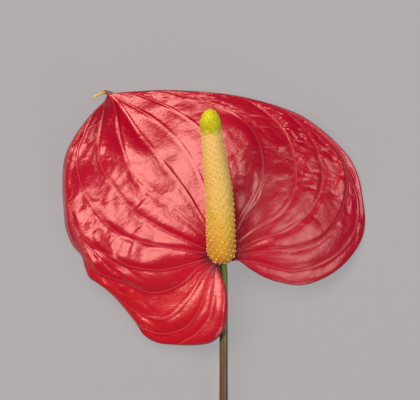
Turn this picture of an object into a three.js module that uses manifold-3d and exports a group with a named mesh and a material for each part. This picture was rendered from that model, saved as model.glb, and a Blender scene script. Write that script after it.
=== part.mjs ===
import * as THREE from 'three';
import Module from 'manifold-3d';
import { mergeVertices } from 'three/addons/utils/BufferGeometryUtils.js';

// Anthurium cut flower, lying face up on a flat surface.
// Millimetres, +Z up. The stem runs along -Y, the heart-shaped spathe faces +Z, and the spadix
// leans up from the junction where all three meet. The flower rests on the two sides of the
// spathe and on the cut end of the stem. Outlines and veins below are measured from the junction.

// Driving dimensions
const junction = [3.8, 83];
const seatHeight = 21;
const bladeThickness = 0.75;
const spadixDiameter = 13;
const spadixTipDiameter = 9;
const stemTopDiameter = 3.7;
const stemCutDiameter = 5;
const seatGap = 0.35;

// Right and left margins of the spathe, from the notch round the lobe to the tip: x, y, height
const rightMargin = [
  [3, 0, 21], [7, 1, 21.4], [13, -3, 20.6], [20, -7, 18.8], [28, -9.5, 16.6], [36.5, -10.5, 14],
  [45.5, -8, 10.8], [54.5, -2.5, 7], [61, 4.5, 3.6], [65, 12, 1.3], [66, 19.5, 0.5], [65, 28.5, 1],
  [63, 39, 2.2], [59, 47.5, 3.3], [52.5, 55, 4.8], [45, 61.5, 6], [37, 67, 7], [27.5, 71, 7.8],
  [17.5, 74, 9.3], [6, 76.5, 10.6], [-7, 78, 11], [-26, 79, 9], [-38.5, 78.5, 7.3], [-52.5, 77.5, 5.5],
];
const leftMargin = [
  [-1.5, -1.5, 21], [-0.5, -6, 21.4], [1.5, -11.5, 21.6], [2.5, -18.5, 21.4], [2, -26, 20.8], [0, -32, 19.4],
  [-4.5, -36.5, 17], [-11, -38, 14], [-21, -38, 10.4], [-30, -37, 7.8], [-36, -33.5, 6.8],
  [-39, -29, 6.4], [-43.5, -23, 7], [-50, -15.5, 8], [-56, -10.5, 8.4], [-61, -7, 7.8],
  [-63, -2.5, 6.4], [-64.5, 2.5, 4.8], [-69, 8, 3.2], [-72, 15.5, 1.6], [-73, 25, 0.5],
  [-73.5, 37.5, 3], [-72, 49, 8.4], [-66.5, 59.5, 13], [-59, 69, 13], [-54, 74, 9.4], [-52.5, 77.5, 5.5],
];

// Veins, from the right margin round to the left. Each leaves the seat at an angle in degrees, runs
// through its points and joins its margin at a share of the margin's length; the midrib is the eighth.
const veins = [
  { side: 'right', leaves: -32, joins: 0.6, through: [[15.5, 0], [31.5, -4], [48, 0], [59.5, 10.5], [63, 25], [55.5, 47]] },
  { side: 'right', leaves: -8, joins: 0.67, through: [[18.5, 5], [34.5, 6.5], [46, 11], [54.5, 22.5], [58, 36], [54, 49], [42, 61]] },
  { side: 'right', leaves: 14, joins: 0.725, through: [[16.5, 10], [30.5, 15.5], [42, 25.5], [46.5, 38], [43.5, 52.5], [30, 69]] },
  { side: 'right', leaves: 32, joins: 0.79, through: [[14, 14], [25.5, 22], [33.5, 33.5], [33.5, 47.5], [29, 60.5], [12, 74.5]] },
  { side: 'right', leaves: 52, joins: 0.915, through: [[9, 19.5], [16, 31.5], [19, 45.5], [15, 59.5], [3, 70], [-23, 77.5]] },
  { side: 'right', leaves: 78, joins: 0.97, through: [[3.5, 23], [2.5, 41.5], [-6.5, 58], [-19.5, 68.5], [-37, 76.5]] },
  { side: 'right', leaves: 100, joins: 1, through: [[-4, 19.5], [-9.5, 38], [-17.5, 52.5], [-27.5, 63], [-42.5, 72.5]] },
  { side: 'right', leaves: 122, joins: 1, through: [[-8.5, 19], [-18, 34.5], [-29.5, 49], [-38.5, 60.5], [-47.5, 73.5]] },
  { side: 'left', leaves: 140, joins: 1, through: [[-11.5, 16], [-23, 26], [-34, 34], [-42, 43.5], [-46.5, 56.5], [-49.5, 72]] },
  { side: 'left', leaves: 156, joins: 0.975, through: [[-14.5, 9], [-28.5, 15.5], [-41, 23.5], [-50.5, 35], [-56.5, 48], [-54.5, 69]] },
  { side: 'left', leaves: 170, joins: 0.94, through: [[-16, 5.5], [-34, 8.5], [-47.5, 13], [-58, 23], [-65, 36], [-66.5, 50.5], [-60.5, 65]] },
  { side: 'left', leaves: 184, joins: 0.855, through: [[-14.5, -0.5], [-28, -3.5], [-41.5, -2], [-54, 4], [-64.5, 11.5], [-70.5, 24], [-72, 40.5]] },
  { side: 'left', leaves: 200, joins: 0.615, through: [[-11, -3], [-20.5, -11], [-32.5, -14], [-45.5, -9], [-57.5, -4.5], [-61.5, 0]] },
  { side: 'left', leaves: 216, joins: 0.51, through: [[-8.5, -6], [-16, -17.5], [-26, -26], [-38.5, -23.5], [-51.5, -13.5]] },
  { side: 'left', leaves: 232, joins: 0.37, through: [[-6, -8.5], [-9.5, -20], [-17, -30], [-28.5, -33], [-35, -31]] },
  { side: 'left', leaves: 243, joins: 0.265, through: [[-3, -4], [-4, -15], [-6, -25.5], [-12.5, -33.5]] },
];
const midrib = 8;

// Height of the midrib, from the seat to the tip, at even shares of its length
const midribHeights = [21, 21.4, 20.6, 18.9, 16.8, 14.2, 11, 7.9, 5.5];
// On each side of it, the share of the way to the margin that stays level and how the rest falls off,
// how it falls off along the top on the right, and how much later the left side falls off from its
// middle on and near the tip
const level = { right: 0.28, left: 0 };
const shoulder = { right: 1.35, left: 1.55 };
const topShoulder = 0.75;
const laterShoulder = { middle: 0.55, tip: 2.2 };

// How far each panel between two lines swells, as a share of its width, from the right margin round:
// near the seat, along its middle and near the tip, and the part of it that is lost at the tip itself
const seatPuff = [0.08, 0.12, 0.12, 0.07, 0.02, 0.06, 0.06, 0.07, 0.16, 0.14, 0.14, 0.13, 0.11, 0.06, 0.12, 0.12, 0.2];
const puff = [0.05, 0.06, 0.1, 0.09, 0.03, 0.09, 0.05, 0.04, 0.1, 0.15, 0.14, 0.12, 0.11, 0.06, 0.1, 0.12, 0.16];
const tipPuff = [0.05, 0.07, 0.13, 0.14, 0.1, 0.03, 0.03, 0.03, 0.07, 0.11, 0.1, 0.08, 0.08, 0.06, 0.1, 0.12, 0.16];
const tipLoss = 0.85;
// Width of a panel's two flanks as shares of its own, first the one towards the midrib
const flanks = [
  [0.5, 0.5, 0.3, 0.35, 0.5, 0.5, 0.5, 0.5, 1, 1, 1, 1, 0.9, 0.7, 0.7, 0.3, 0.6],
  [0.4, 0.5, 0.12, 0.25, 0.4, 0.3, 0.4, 0.4, 0.42, 0.42, 0.32, 0.3, 0.3, 0.3, 0.3, 0.7, 0.4],
];
const seatFlanks = [0.5, 0.35];
const tipFlanks = { right: [0.4, 0.7], left: [0.6, 0.4] };

// Groove along the midrib, and how far the blade rises again on its left near the tip
const channelDepth = 1;
const channelWidth = 3;
const tipRise = 7;
const riseShape = { gain: 3, outward: 1.5, backDown: 0.48 };
// Broad swells and dents: x, y, radius, height
const swells = [[-19, -13, 13, -2.6], [-30, -30, 9, 1.2], [-30, 66, 9, -1.3], [-50, -2, 17, 3]];

// Shares of the spathe's length over which one shape gives way to the next
const spans = {
  swellingStarts: [0, 0.1],
  seatToMiddlePuff: [0.15, 0.4],
  middleToTipPuff: [0.52, 0.66],
  tipLoses: { right: [0.68, 0.8], left: [0.68, 0.9] },
  alongTop: [0.72, 0.88],
  seatToMiddleFlanks: [0.1, 0.3],
  middleToTipFlanks: [0.5, 0.62],
  middleShoulder: [0.35, 0.55],
  tipShoulder: [0.6, 0.78],
  channelStarts: [0.6, 0.8],
  channelEnds: [0.88, 1],
  riseStarts: [0.49, 0.76],
  riseEnds: [0.92, 1],
};

// Seat of the spadix, in the middle of the junction
const seatCentre = [-0.5, 3.2];
const seatRadius = 3.2;

// Dry point at the tip of the spathe: x, y, height
const cusp = [
  [-50.8, 77.2, 5.2], [-52.4, 77.9, 5.1], [-53.8, 78.3, 5.3], [-55.4, 77.9, 5.8], [-57.8, 76.8, 6.5], [-60, 75.5, 7.1],
];
const cuspRootRadius = 0.75;
const cuspPointRadius = 0.35;
const cuspSides = 8;
const cuspSteps = 14;

// Spadix: its axis in x, y and height over the seat, and the lattice of florets round it
const spadixAxis = [
  [-0.2, 0.1, 4.5], [-0.4, 9.7, 8.5], [-1.3, 29, 16.4],
  [-3.9, 50.6, 25.1], [-5.3, 62, 29.6], [-5.5, 69.3, 32.4],
];
const floretsRound = 18;
const floretRows = 62;
const floretRise = 0.42;
const fullFloretRadius = 4;
const firstFloretRow = 0.5;
const spadixTwist = 0.9;
const spadixTaper = [0.25, 1.05];
const baseRounding = 6.5;
const tipRounding = 6;

// Stem: its axis in x, y and height, from the cut end to its flat top under the seat
const stemAxis = [
  [5, -245, 2.42], [4.2, -215, 2.4], [2.6, -175, 2.5], [1.2, -130, 4], [0.7, -95, 6.8],
  [0.7, -65, 9.8], [0.7, -40, 12.5], [0.7, -18, 14.7], [0.6, -6, 16], [0.2, 0, 17.5],
  [-0.2, 2.8, seatHeight - bladeThickness - seatGap],
];
const stemCutSlant = 0.45;
const stemTaper = [0.1, 0.95];
const stemTopFlare = 0.5;
const stemFlareSpan = [0.975, 1];
const stemSides = 12;
const stemSteps = 40;

const spatheFinish = { color: 0xb81d2c, roughness: 0.25 };
const spadixFinish = { color: 0xe0ad55, roughness: 0.55 };
const stemFinish = { color: 0x6b4a31, roughness: 0.5 };

// Fineness of the spathe's grid: its rows, the places in a panel that have a point, from its inner line,
// and the distance under which two points of a row are one
const rowCount = 44;
const lastRowShare = 0.955;
const panelPlaces = [0.35, 0.7];
const weldDistance = 0.02;
// The wall is at most twice as high as it is thick
const leastLean = 0.5;
const curveDivisions = 600;
const mergeTolerance = 1e-4;

const { lerp } = THREE.MathUtils;

function smooth([from, to], value) {
  const t = Math.min(1, Math.max(0, (value - from) / (to - from)));
  return t * t * (3 - 2 * t);
}

function curveThrough(points) {
  const curve = new THREE.CatmullRomCurve3(points, false, 'centripetal');
  curve.arcLengthDivisions = curveDivisions;
  return curve;
}

function toVectors(points) {
  return points.map(([x, y, z = 0]) => new THREE.Vector3(x, y, z));
}

// Piecewise linear value at a share from 0 to 1, from even samples
function sampled(values, share) {
  const place = share * (values.length - 1);
  const step = Math.min(values.length - 2, Math.floor(place));
  return lerp(values[step], values[step + 1], place - step);
}

function closedGeometry(positions, triangles) {
  const geometry = new THREE.BufferGeometry();
  geometry.setAttribute('position', new THREE.Float32BufferAttribute(positions, 3));
  geometry.setIndex(triangles);
  return geometry;
}

// Lines of the spathe that run from the seat to the tip: margin, veins and margin, each a function
// that gives a plan position at a share of its length. A vein follows the margin once it has joined it.
function bladeLines() {
  const margins = { right: curveThrough(toVectors(rightMargin)), left: curveThrough(toVectors(leftMargin)) };
  const veinLines = veins.map(({ side, leaves, joins, through }) => {
    const angle = THREE.MathUtils.degToRad(leaves);
    const start = new THREE.Vector3(
      seatCentre[0] + seatRadius * Math.cos(angle),
      seatCentre[1] + seatRadius * Math.sin(angle),
      0,
    );
    const end = margins[side].getPointAt(joins).setZ(0);
    const curve = curveThrough([start, ...toVectors(through), end]);
    return (share) => (share >= joins ? margins[side].getPointAt(share).setZ(0) : curve.getPointAt(share / joins));
  });
  return { margins, lines: [(s) => margins.right.getPointAt(s), ...veinLines, (s) => margins.left.getPointAt(s)] };
}

// How far a panel swells, as a share of its width, at a place on the way out from its inner line
function swellingAt(panel, place, share) {
  const side = panel < midrib ? 'right' : 'left';
  const middle = lerp(seatPuff[panel], puff[panel], smooth(spans.seatToMiddlePuff, share));
  let swelling = lerp(middle, tipPuff[panel], smooth(spans.middleToTipPuff, share));
  swelling *= smooth(spans.swellingStarts, share) * (1 - tipLoss * smooth(spans.tipLoses[side], share));
  [place, 1 - place].forEach((way, k) => {
    const flank = lerp(seatFlanks[k], flanks[k][panel], smooth(spans.seatToMiddleFlanks, share));
    const width = lerp(flank, tipFlanks[side][k], smooth(spans.middleToTipFlanks, share));
    swelling *= 1 - Math.max(0, 1 - way / width) ** 2;
  });
  return swelling;
}

// One row of the blade's upper face: the lines with two places between each two, and their heights
function bladeRow({ margins, lines }, share) {
  const plan = lines.map((line) => line(share).setZ(0));
  const row = [];
  plan.forEach((point, i) => {
    row.push({ point, swelling: 0 });
    if (i + 1 < plan.length) {
      const next = plan[i + 1];
      const width = point.distanceTo(next);
      const outward = i < midrib ? [...panelPlaces].reverse() : panelPlaces;
      outward.forEach((place) => {
        const between = point.clone().lerp(next, i < midrib ? 1 - place : place);
        row.push({ point: between, swelling: width * swellingAt(i, place, share) });
      });
    }
  });
  const middle = midrib * (panelPlaces.length + 1);
  const reach = new Array(row.length).fill(0);
  for (let i = middle + 1; i < row.length; i += 1) reach[i] = reach[i - 1] + row[i].point.distanceTo(row[i - 1].point);
  for (let i = middle - 1; i >= 0; i -= 1) reach[i] = reach[i + 1] + row[i].point.distanceTo(row[i + 1].point);
  const midHeight = sampled(midribHeights, share);
  const edgeHeight = { right: margins.right.getPointAt(share).z, left: margins.left.getPointAt(share).z };
  const later = laterShoulder.middle * smooth(spans.middleShoulder, share) + laterShoulder.tip * smooth(spans.tipShoulder, share);
  const top = smooth(spans.alongTop, share);
  const falls = { right: lerp(shoulder.right, topShoulder, top), left: shoulder.left + later };
  const flat = { right: level.right * (1 - top), left: level.left };
  const channel = channelDepth * smooth(spans.channelStarts, share) * (1 - smooth(spans.channelEnds, share));
  const rise = tipRise * smooth(spans.riseStarts, share) * (1 - smooth(spans.riseEnds, share));
  return row.map(({ point, swelling }, i) => {
    const side = i < middle ? 'right' : 'left';
    const whole = i < middle ? reach[0] : reach[row.length - 1];
    const across = whole > 0 ? reach[i] / whole : 0;
    const fall = (Math.max(across - flat[side], 0) / (1 - flat[side])) ** falls[side];
    let height = edgeHeight[side] + (midHeight - edgeHeight[side]) * (1 - fall);
    height += swelling - channel * Math.exp(-((reach[i] / channelWidth) ** 2));
    if (side === 'left') {
      height += rise * riseShape.gain * across ** riseShape.outward * (1 - across) ** riseShape.backDown;
    }
    swells.forEach(([x, y, radius, swell]) => {
      height += swell * Math.exp(-((point.x - x) ** 2 + (point.y - y) ** 2) / radius ** 2);
    });
    return new THREE.Vector3(point.x, point.y, height);
  });
}

// The blade: an upper and an under face with the same triangles, and a blunt edge between them
function spatheBlade() {
  const shape = bladeLines();
  const rows = [];
  for (let j = 0; j <= rowCount; j += 1) rows.push(bladeRow(shape, (lastRowShare * j) / rowCount));
  const columns = rows[0].length;
  const upper = [];
  const ids = rows.map((row) => row.map((point, i) => {
    const near = i > 0 && row[i - 1].distanceTo(point) < weldDistance;
    if (near) return -1;
    upper.push(point);
    return upper.length - 1;
  }));
  ids.forEach((row) => row.forEach((id, i) => {
    if (id < 0) row[i] = row[i - 1];
  }));
  const tip = upper.push(new THREE.Vector3(...rightMargin[rightMargin.length - 1])) - 1;
  const seat = upper.push(new THREE.Vector3(...seatCentre, seatHeight)) - 1;

  const faces = [];
  const face = (a, b, c) => {
    if (a !== b && b !== c && c !== a) faces.push([a, b, c]);
  };
  const inPanel = panelPlaces.length + 1;
  for (let j = 0; j < rowCount; j += 1) {
    for (let i = 0; i + 1 < columns; i += 1) {
      const [a, b, c, d] = [ids[j][i], ids[j][i + 1], ids[j + 1][i + 1], ids[j + 1][i]];
      if (i % inPanel === 0) {
        face(a, d, b);
        face(b, d, c);
      } else {
        face(a, c, b);
        face(a, d, c);
      }
    }
  }
  for (let i = 0; i + 1 < columns; i += 1) {
    face(ids[rowCount][i], tip, ids[rowCount][i + 1]);
    face(ids[0][i], ids[0][i + 1], seat);
  }
  face(ids[0][columns - 1], ids[0][0], seat);

  // the wall is measured square to the surface, so it grows where the surface is steep
  const normals = upper.map(() => new THREE.Vector3());
  faces.forEach(([a, b, c]) => {
    const normal = upper[b].clone().sub(upper[a]).cross(upper[c].clone().sub(upper[a]));
    [a, b, c].forEach((k) => normals[k].add(normal));
  });
  const under = upper.map((point, k) => {
    const wall = bladeThickness / Math.max(leastLean, Math.abs(normals[k].normalize().z));
    const height = Math.max(0, point.z - wall);
    point.z = height + wall;
    return new THREE.Vector3(point.x, point.y, height);
  });

  const positions = [...upper, ...under].flatMap((p) => [p.x + junction[0], p.y + junction[1], p.z]);
  const count = upper.length;
  const triangles = faces.flatMap(([a, b, c]) => [a, b, c, a + count, c + count, b + count]);
  const edge = [...ids.map((row) => row[0]), tip, ...ids.map((row) => row[columns - 1]).reverse()];
  edge.forEach((a, i) => {
    const b = edge[(i + 1) % edge.length];
    if (a !== b) triangles.push(a, a + count, b, b, a + count, b + count);
  });
  return closedGeometry(positions, triangles);
}

// A round bar along a curve; radius is a function of the share of its length, and its two ends are
// flat, square to the curve or to the two normals in cuts
function taperedBar(points, sides, steps, radius, cuts = []) {
  const curve = curveThrough(toVectors(points));
  const positions = [];
  const triangles = [];
  const up = new THREE.Vector3(0, 0, 1);
  for (let j = 0; j <= steps; j += 1) {
    const centre = curve.getPointAt(j / steps);
    const along = curve.getTangentAt(j / steps);
    const side = new THREE.Vector3().crossVectors(up, along).normalize();
    const top = new THREE.Vector3().crossVectors(along, side);
    const cut = { 0: cuts[0], [steps]: cuts[1] }[j];
    for (let k = 0; k < sides; k += 1) {
      const angle = (2 * Math.PI * (k + 0.5)) / sides;
      const offset = side.clone().multiplyScalar(Math.cos(angle)).addScaledVector(top, Math.sin(angle));
      offset.multiplyScalar(radius(j / steps));
      if (cut) offset.addScaledVector(along, -offset.dot(cut) / along.dot(cut));
      positions.push(centre.x + offset.x + junction[0], centre.y + offset.y + junction[1], centre.z + offset.z);
    }
  }
  for (let j = 0; j < steps; j += 1) {
    for (let k = 0; k < sides; k += 1) {
      const a = j * sides + k;
      const b = j * sides + ((k + 1) % sides);
      triangles.push(a, b, a + sides, b, b + sides, a + sides);
    }
  }
  for (let k = 1; k + 1 < sides; k += 1) {
    triangles.push(0, k + 1, k);
    triangles.push(steps * sides, steps * sides + k, steps * sides + k + 1);
  }
  return closedGeometry(positions, triangles);
}

// The spadix: a lattice of diamonds wound round its axis, one for each floret, raised in the middle
function spadixBody() {
  const curve = curveThrough(toVectors(spadixAxis.map(([x, y, height]) => [x, y, seatHeight + height])));
  const length = curve.getLength();
  const radiusAt = (run) => {
    const taper = lerp(spadixDiameter, spadixTipDiameter, smooth(spadixTaper, run / length)) / 2;
    const base = Math.sqrt(1 - Math.max(0, 1 - run / baseRounding) ** 2);
    const end = Math.sqrt(1 - Math.max(0, 1 - (length - run) / tipRounding) ** 2);
    return taper * base * end;
  };
  const positions = [];
  const place = (run, turn, rise) => {
    const share = Math.min(1, Math.max(0, run / length));
    const centre = curve.getPointAt(share);
    const along = curve.getTangentAt(share);
    const side = new THREE.Vector3().crossVectors(new THREE.Vector3(0, 0, 1), along).normalize();
    const top = new THREE.Vector3().crossVectors(along, side);
    const radius = radiusAt(run) + rise;
    const angle = turn + (spadixTwist * run) / length;
    const point = centre.addScaledVector(side, radius * Math.cos(angle)).addScaledVector(top, radius * Math.sin(angle));
    return positions.push(point.x + junction[0], point.y + junction[1], point.z) / 3 - 1;
  };
  const pitch = (length - 2 * firstFloretRow) / (floretRows - 1);
  const step = (2 * Math.PI) / floretsRound;
  const corners = [];
  for (let i = 0; i < floretRows; i += 1) {
    const run = firstFloretRow + pitch * i;
    corners.push(Array.from({ length: floretsRound }, (_, k) => place(run, step * (k + (i % 2) / 2), 0)));
  }
  const triangles = [];
  for (let i = 0; i + 2 < floretRows; i += 1) {
    const run = firstFloretRow + pitch * (i + 1);
    const rise = floretRise * Math.min(1, radiusAt(run) / fullFloretRadius);
    for (let k = 0; k < floretsRound; k += 1) {
      const odd = i % 2;
      const low = corners[i][k];
      const high = corners[i + 2][k];
      const left = corners[i + 1][(k + odd) % floretsRound];
      const right = corners[i + 1][(k + odd + floretsRound - 1) % floretsRound];
      const crown = place(run, step * (k + odd / 2), rise);
      triangles.push(low, left, crown, left, high, crown, high, right, crown, right, low, crown);
    }
  }
  // half diamonds close the first and last rows, and fans close the two ends
  const baseEnd = place(0, 0, -radiusAt(0));
  const tipEnd = place(length, 0, -radiusAt(length));
  for (let k = 0; k < floretsRound; k += 1) {
    const next = (k + 1) % floretsRound;
    triangles.push(corners[0][k], corners[0][next], corners[1][k]);
    triangles.push(corners[0][next], corners[0][k], baseEnd);
    const last = corners[floretRows - 1];
    const odd = (floretRows - 1) % 2;
    triangles.push(last[next], last[k], corners[floretRows - 2][(k + odd) % floretsRound]);
    triangles.push(last[k], last[next], tipEnd);
  }
  return closedGeometry(positions, triangles);
}

const wasm = await Module();
wasm.setup();

function asSolid(geometry) {
  const merged = mergeVertices(geometry, mergeTolerance);
  return new wasm.Manifold(new wasm.Mesh({
    numProp: 3,
    vertProperties: new Float32Array(merged.attributes.position.array),
    triVerts: new Uint32Array(merged.index.array),
  }));
}

// The spathe with its dry point, joined in one solid
function spatheWithCusp() {
  const dryPoint = taperedBar(cusp, cuspSides, cuspSteps, (share) => lerp(cuspRootRadius, cuspPointRadius, share));
  const joined = asSolid(spatheBlade()).add(asSolid(dryPoint)).getMesh();
  return closedGeometry(Array.from(joined.vertProperties), Array.from(joined.triVerts));
}

function stemBody() {
  const radius = (share) => {
    const even = lerp(stemCutDiameter, stemTopDiameter, smooth(stemTaper, share)) / 2;
    return even + stemTopFlare * smooth(stemFlareSpan, share);
  };
  const slanted = new THREE.Vector3(0, -1, stemCutSlant);
  return taperedBar(stemAxis, stemSides, stemSteps, radius, [slanted, new THREE.Vector3(0, 0, 1)]);
}

function piece(name, geometry, { color, roughness }) {
  const material = new THREE.MeshStandardMaterial({ color, roughness, metalness: 0 });
  const mesh = new THREE.Mesh(geometry, material);
  mesh.name = name;
  return mesh;
}

const anthurium = new THREE.Group();
anthurium.add(piece('spathe', spatheWithCusp(), spatheFinish));
anthurium.add(piece('spadix', spadixBody(), spadixFinish));
anthurium.add(piece('stem', stemBody(), stemFinish));

export default anthurium;
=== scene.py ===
import math
import bmesh
import bpy
import numpy as np
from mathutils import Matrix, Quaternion, Vector, noise


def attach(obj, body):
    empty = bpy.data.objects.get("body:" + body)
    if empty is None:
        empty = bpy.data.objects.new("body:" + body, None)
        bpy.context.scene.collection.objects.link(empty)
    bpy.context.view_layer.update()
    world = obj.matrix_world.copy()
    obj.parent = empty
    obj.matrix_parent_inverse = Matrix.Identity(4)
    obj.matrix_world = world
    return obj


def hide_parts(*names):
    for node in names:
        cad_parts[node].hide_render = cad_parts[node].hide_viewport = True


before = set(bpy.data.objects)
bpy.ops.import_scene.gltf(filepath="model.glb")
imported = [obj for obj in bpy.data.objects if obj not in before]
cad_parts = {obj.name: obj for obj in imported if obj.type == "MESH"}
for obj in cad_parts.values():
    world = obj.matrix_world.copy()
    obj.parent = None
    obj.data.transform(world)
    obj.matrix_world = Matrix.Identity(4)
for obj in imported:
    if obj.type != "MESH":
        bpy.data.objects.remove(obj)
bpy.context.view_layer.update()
mm = 0.001

# where the stem, the spathe and the spadix meet, and the height of the spadix's seat there
junction = np.array([3.8, 83.0])
seatHeight = 21.0


def printStage(words):
    print("stage:", words, flush=True)


def smoothStep(low, high, value):
    t = np.clip((value - low) / (high - low), 0.0, 1.0)
    return t * t * (3 - 2 * t)


def bell(plan, x, y, radius):
    # 1 at a place in the plan, fading out round it
    away = (plan[..., 0] - x) ** 2 + (plan[..., 1] - y) ** 2
    return np.exp(-away / radius ** 2)


def ridge(distance, width):
    # 1 on a line, fading out beside it
    return np.exp(-(distance / width) ** 2)


def splineThrough(points, count, between=40):
    # centripetal Catmull-Rom through the points, as count + 1 places an even length apart
    p = np.asarray(points, float)
    p = np.vstack([2 * p[0] - p[1], p, 2 * p[-1] - p[-2]])
    run = []
    t = np.linspace(0, 1, between, endpoint=False)[:, None]
    for k in range(1, len(p) - 2):
        p0, p1, p2, p3 = p[k - 1:k + 3]
        d0, d1, d2 = (np.linalg.norm(b - a) ** 0.5 for a, b in ((p0, p1), (p1, p2), (p2, p3)))
        leave = ((p1 - p0) / d0 - (p2 - p0) / (d0 + d1) + (p2 - p1) / d1) * d1
        arrive = ((p2 - p1) / d1 - (p3 - p1) / (d1 + d2) + (p3 - p2) / d2) * d1
        run.append(p1 + leave * t + (3 * (p2 - p1) - 2 * leave - arrive) * t ** 2
                   + (2 * (p1 - p2) + leave + arrive) * t ** 3)
    run.append(p[-2][None])
    run = np.vstack(run)
    length = np.r_[0, np.cumsum(np.linalg.norm(np.diff(run, axis=0), axis=1))]
    even = np.linspace(0, length[-1], count + 1)
    return np.column_stack([np.interp(even, length, run[:, k]) for k in range(run.shape[1])])


def squareTo(way, k, aside):
    # the way ahead at a point of a line, and two directions square to it, the first of them also to aside
    ahead = way[min(k + 1, len(way) - 1)] - way[max(k - 1, 0)]
    ahead = ahead / np.linalg.norm(ahead)
    first = np.cross(aside, ahead)
    first = first / np.linalg.norm(first)
    return ahead, first, np.cross(ahead, first)


def turns(sides):
    return [math.tau * i / sides for i in range(sides)]


def tubeFaces(rings, sides):
    # faces between rings of points, and round the two end points that come after them
    faces = []
    for k in range(rings - 1):
        for i in range(sides):
            a, b = k * sides + i, k * sides + (i + 1) % sides
            faces.append((a + sides, b + sides, b, a))
    last, startPoint = (rings - 1) * sides, rings * sides
    for i in range(sides):
        n = (i + 1) % sides
        faces.append((i, n, startPoint))
        faces.append((last + n, last + i, startPoint + 1))
    return faces


def addToScene(name, data):
    thing = bpy.data.objects.new(name, data)
    bpy.context.collection.objects.link(thing)
    return thing


def makeObject(name, points, faces, attributes=None):
    mesh = bpy.data.meshes.new(name)
    mesh.from_pydata([tuple(p) for p in np.asarray(points) * mm], [], faces)
    for key, values in (attributes or {}).items():
        layer = mesh.attributes.new(key, "FLOAT", "POINT")
        layer.data.foreach_set("value", np.asarray(values, np.float32))
    mesh.polygons.foreach_set("use_smooth", np.ones(len(mesh.polygons), bool))
    mesh.update()
    return addToScene(name, mesh)


def newMaterial(name):
    material = bpy.data.materials.new(name)
    material.use_nodes = True
    return material, material.node_tree


def setSockets(tree, node, values):
    # values go to sockets by name or number; another node's socket is linked, anything else is set
    for key, value in values.items():
        if isinstance(value, bpy.types.NodeSocket):
            tree.links.new(value, node.inputs[key])
        else:
            node.inputs[key].default_value = value


def setShader(tree, values):
    setSockets(tree, tree.nodes["Principled BSDF"], values)


def addNode(tree, kind, values=None, **settings):
    node = tree.nodes.new(kind)
    for key, value in settings.items():
        setattr(node, key, value)
    setSockets(tree, node, values or {})
    return node


def objectPlace(tree):
    return addNode(tree, "ShaderNodeTexCoord").outputs["Object"]


def mathNode(tree, operation, *values):
    return addNode(tree, "ShaderNodeMath", dict(enumerate(values)), operation=operation).outputs[0]


def product(tree, first, second):
    return mathNode(tree, "MULTIPLY", first, second)


def vectorMath(tree, operation, *values):
    keys = (0, "Scale") if operation == "SCALE" else range(len(values))
    node = addNode(tree, "ShaderNodeVectorMath", dict(zip(keys, values)), operation=operation)
    return node.outputs["Value" if operation in ("DOT_PRODUCT", "LENGTH") else "Vector"]


def mixColors(tree, factor, first, second, blend="MIX"):
    # a mix node's colours are its sockets 6 and 7, and its output 2
    first, second = (c if isinstance(c, bpy.types.NodeSocket) else (*c, 1) for c in (first, second))
    values = {0: factor, 6: first, 7: second}
    return addNode(tree, "ShaderNodeMix", values, data_type="RGBA", blend_type=blend).outputs[2]


def ramp(tree, value, low, high, atLow=0.0, atHigh=1.0, kind="SMOOTHSTEP"):
    # smooth step from one value to another, or a straight one where kind is LINEAR
    values = {"Value": value, "From Min": low, "From Max": high, "To Min": atLow, "To Max": atHigh}
    return addNode(tree, "ShaderNodeMapRange", values, interpolation_type=kind).outputs[0]


def attribute(tree, name):
    return addNode(tree, "ShaderNodeAttribute", attribute_name=name).outputs["Fac"]


def noiseValue(tree, place, scale, detail=2.0, roughness=0.5):
    values = {"Vector": place, "Scale": scale, "Detail": detail, "Roughness": roughness}
    return addNode(tree, "ShaderNodeTexNoise", values).outputs[0]


def bump(tree, height, distance, strength=1.0, normal=None):
    values = {"Height": height, "Distance": distance, "Strength": strength}
    if normal:
        values["Normal"] = normal
    return addNode(tree, "ShaderNodeBump", values).outputs[0]


def colorBand(tree, value, stops):
    node = addNode(tree, "ShaderNodeValToRGB", {0: value})
    elements = node.color_ramp.elements
    while len(elements) < len(stops):
        elements.new(0.5)
    for element, (place, color) in zip(elements, stops):
        element.position = place
        element.color = (*color, 1)
    return node.outputs[0]


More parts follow.
